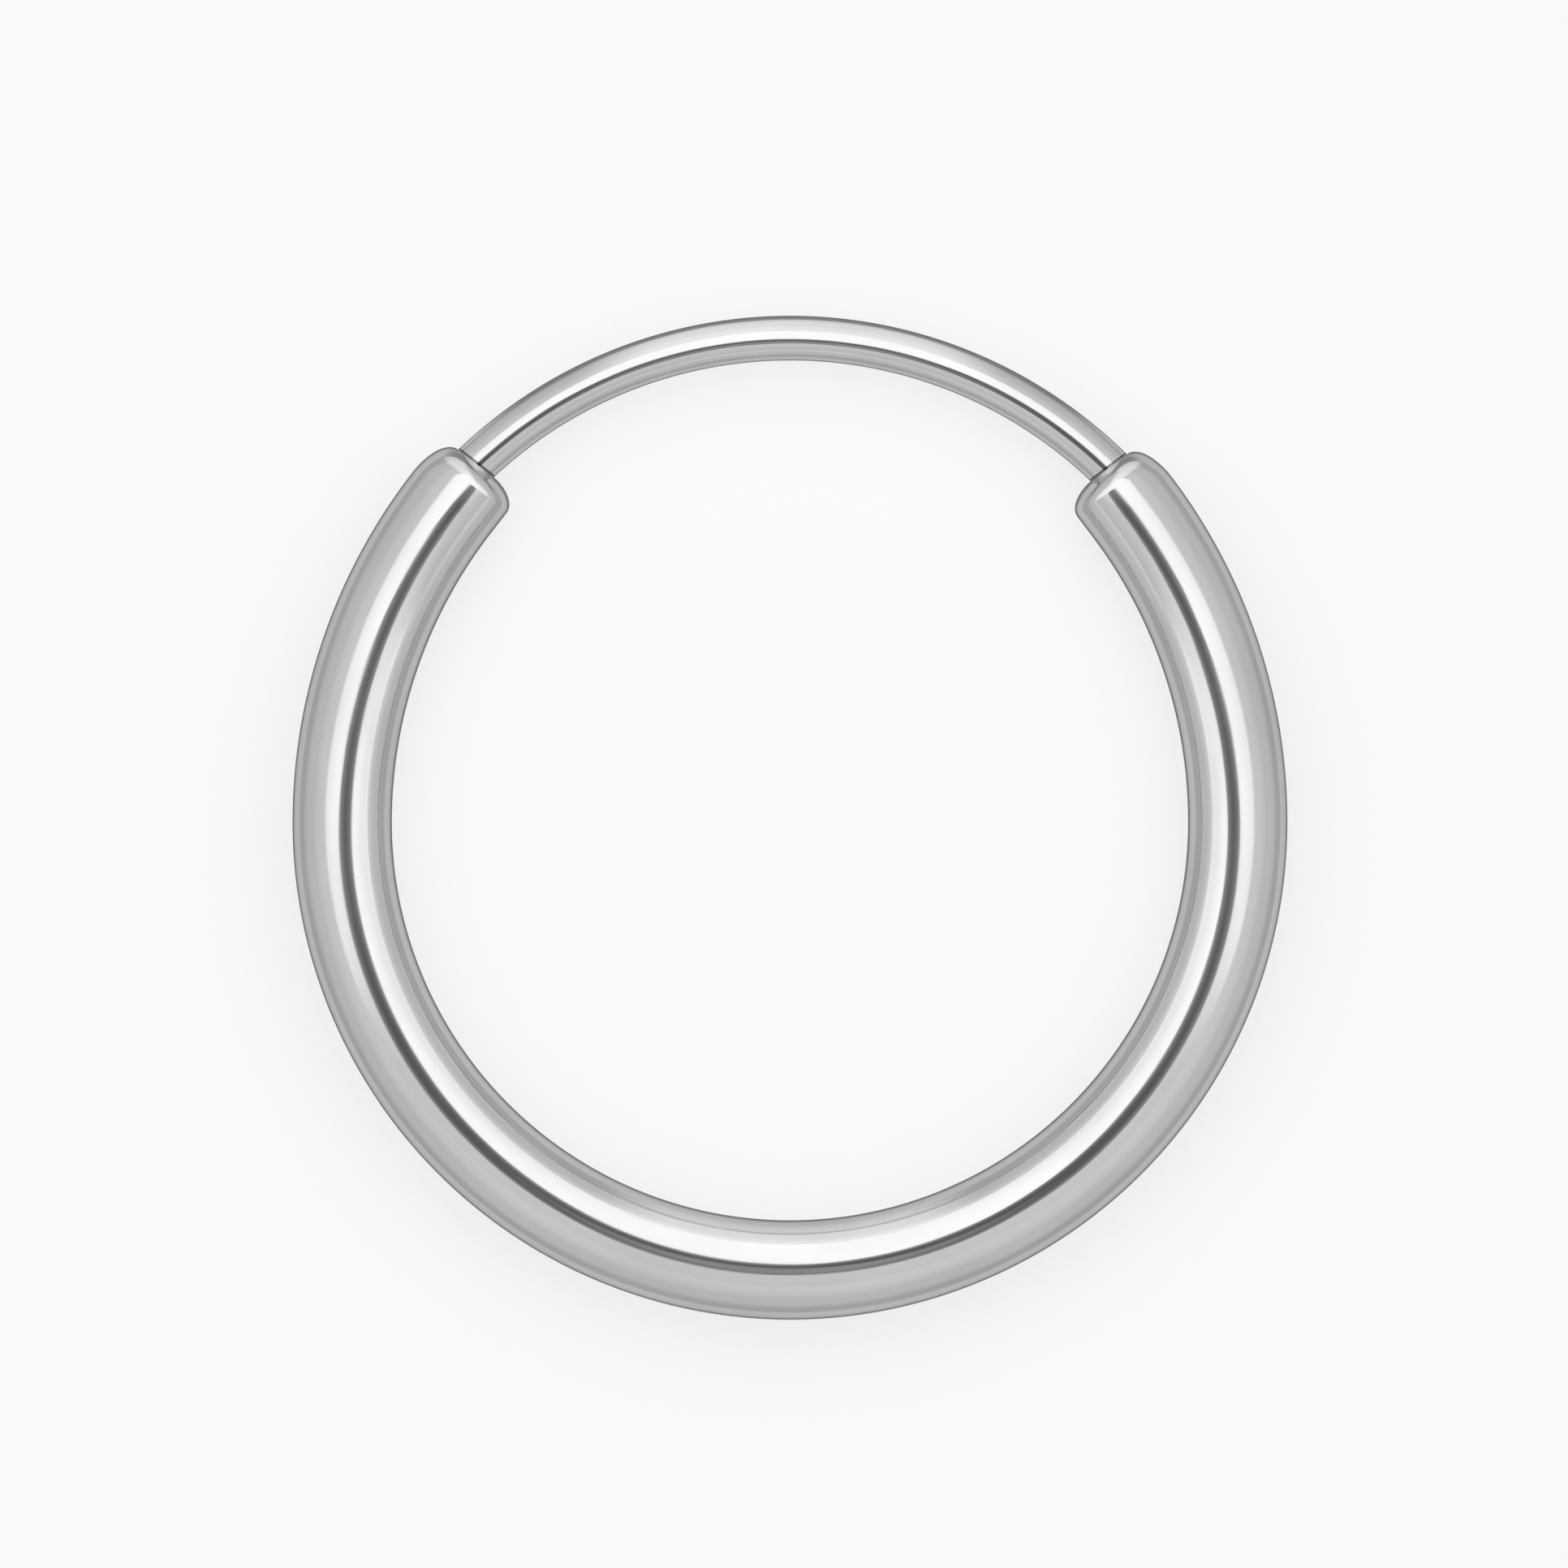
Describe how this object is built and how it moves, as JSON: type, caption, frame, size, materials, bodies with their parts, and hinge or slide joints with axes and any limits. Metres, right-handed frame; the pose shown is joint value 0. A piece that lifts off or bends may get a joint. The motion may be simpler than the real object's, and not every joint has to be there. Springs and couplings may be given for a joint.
{
  "type": "segment ring",
  "caption": "Polished hoop of hollow round tube with rounded mouths, closed at the top by a thinner wire segment that goes through a piercing.",
  "frame": {"origin": "on the surface that the ring lies on, under the middle of its outline", "axes": "+Z along the hoop's axis, up from the side it lies on; +Y towards the crown of the wire segment; +X to the right when seen from above with the wire at the top"},
  "size_m": [0.02, 0.0202, 0.002],
  "materials": {
    "polished_silver": "mirror polished silver"
  },
  "bodies": {
    "root": {"ring_tube": "polished_silver", "wire_segment": "polished_silver"}
  },
  "joints": []
}
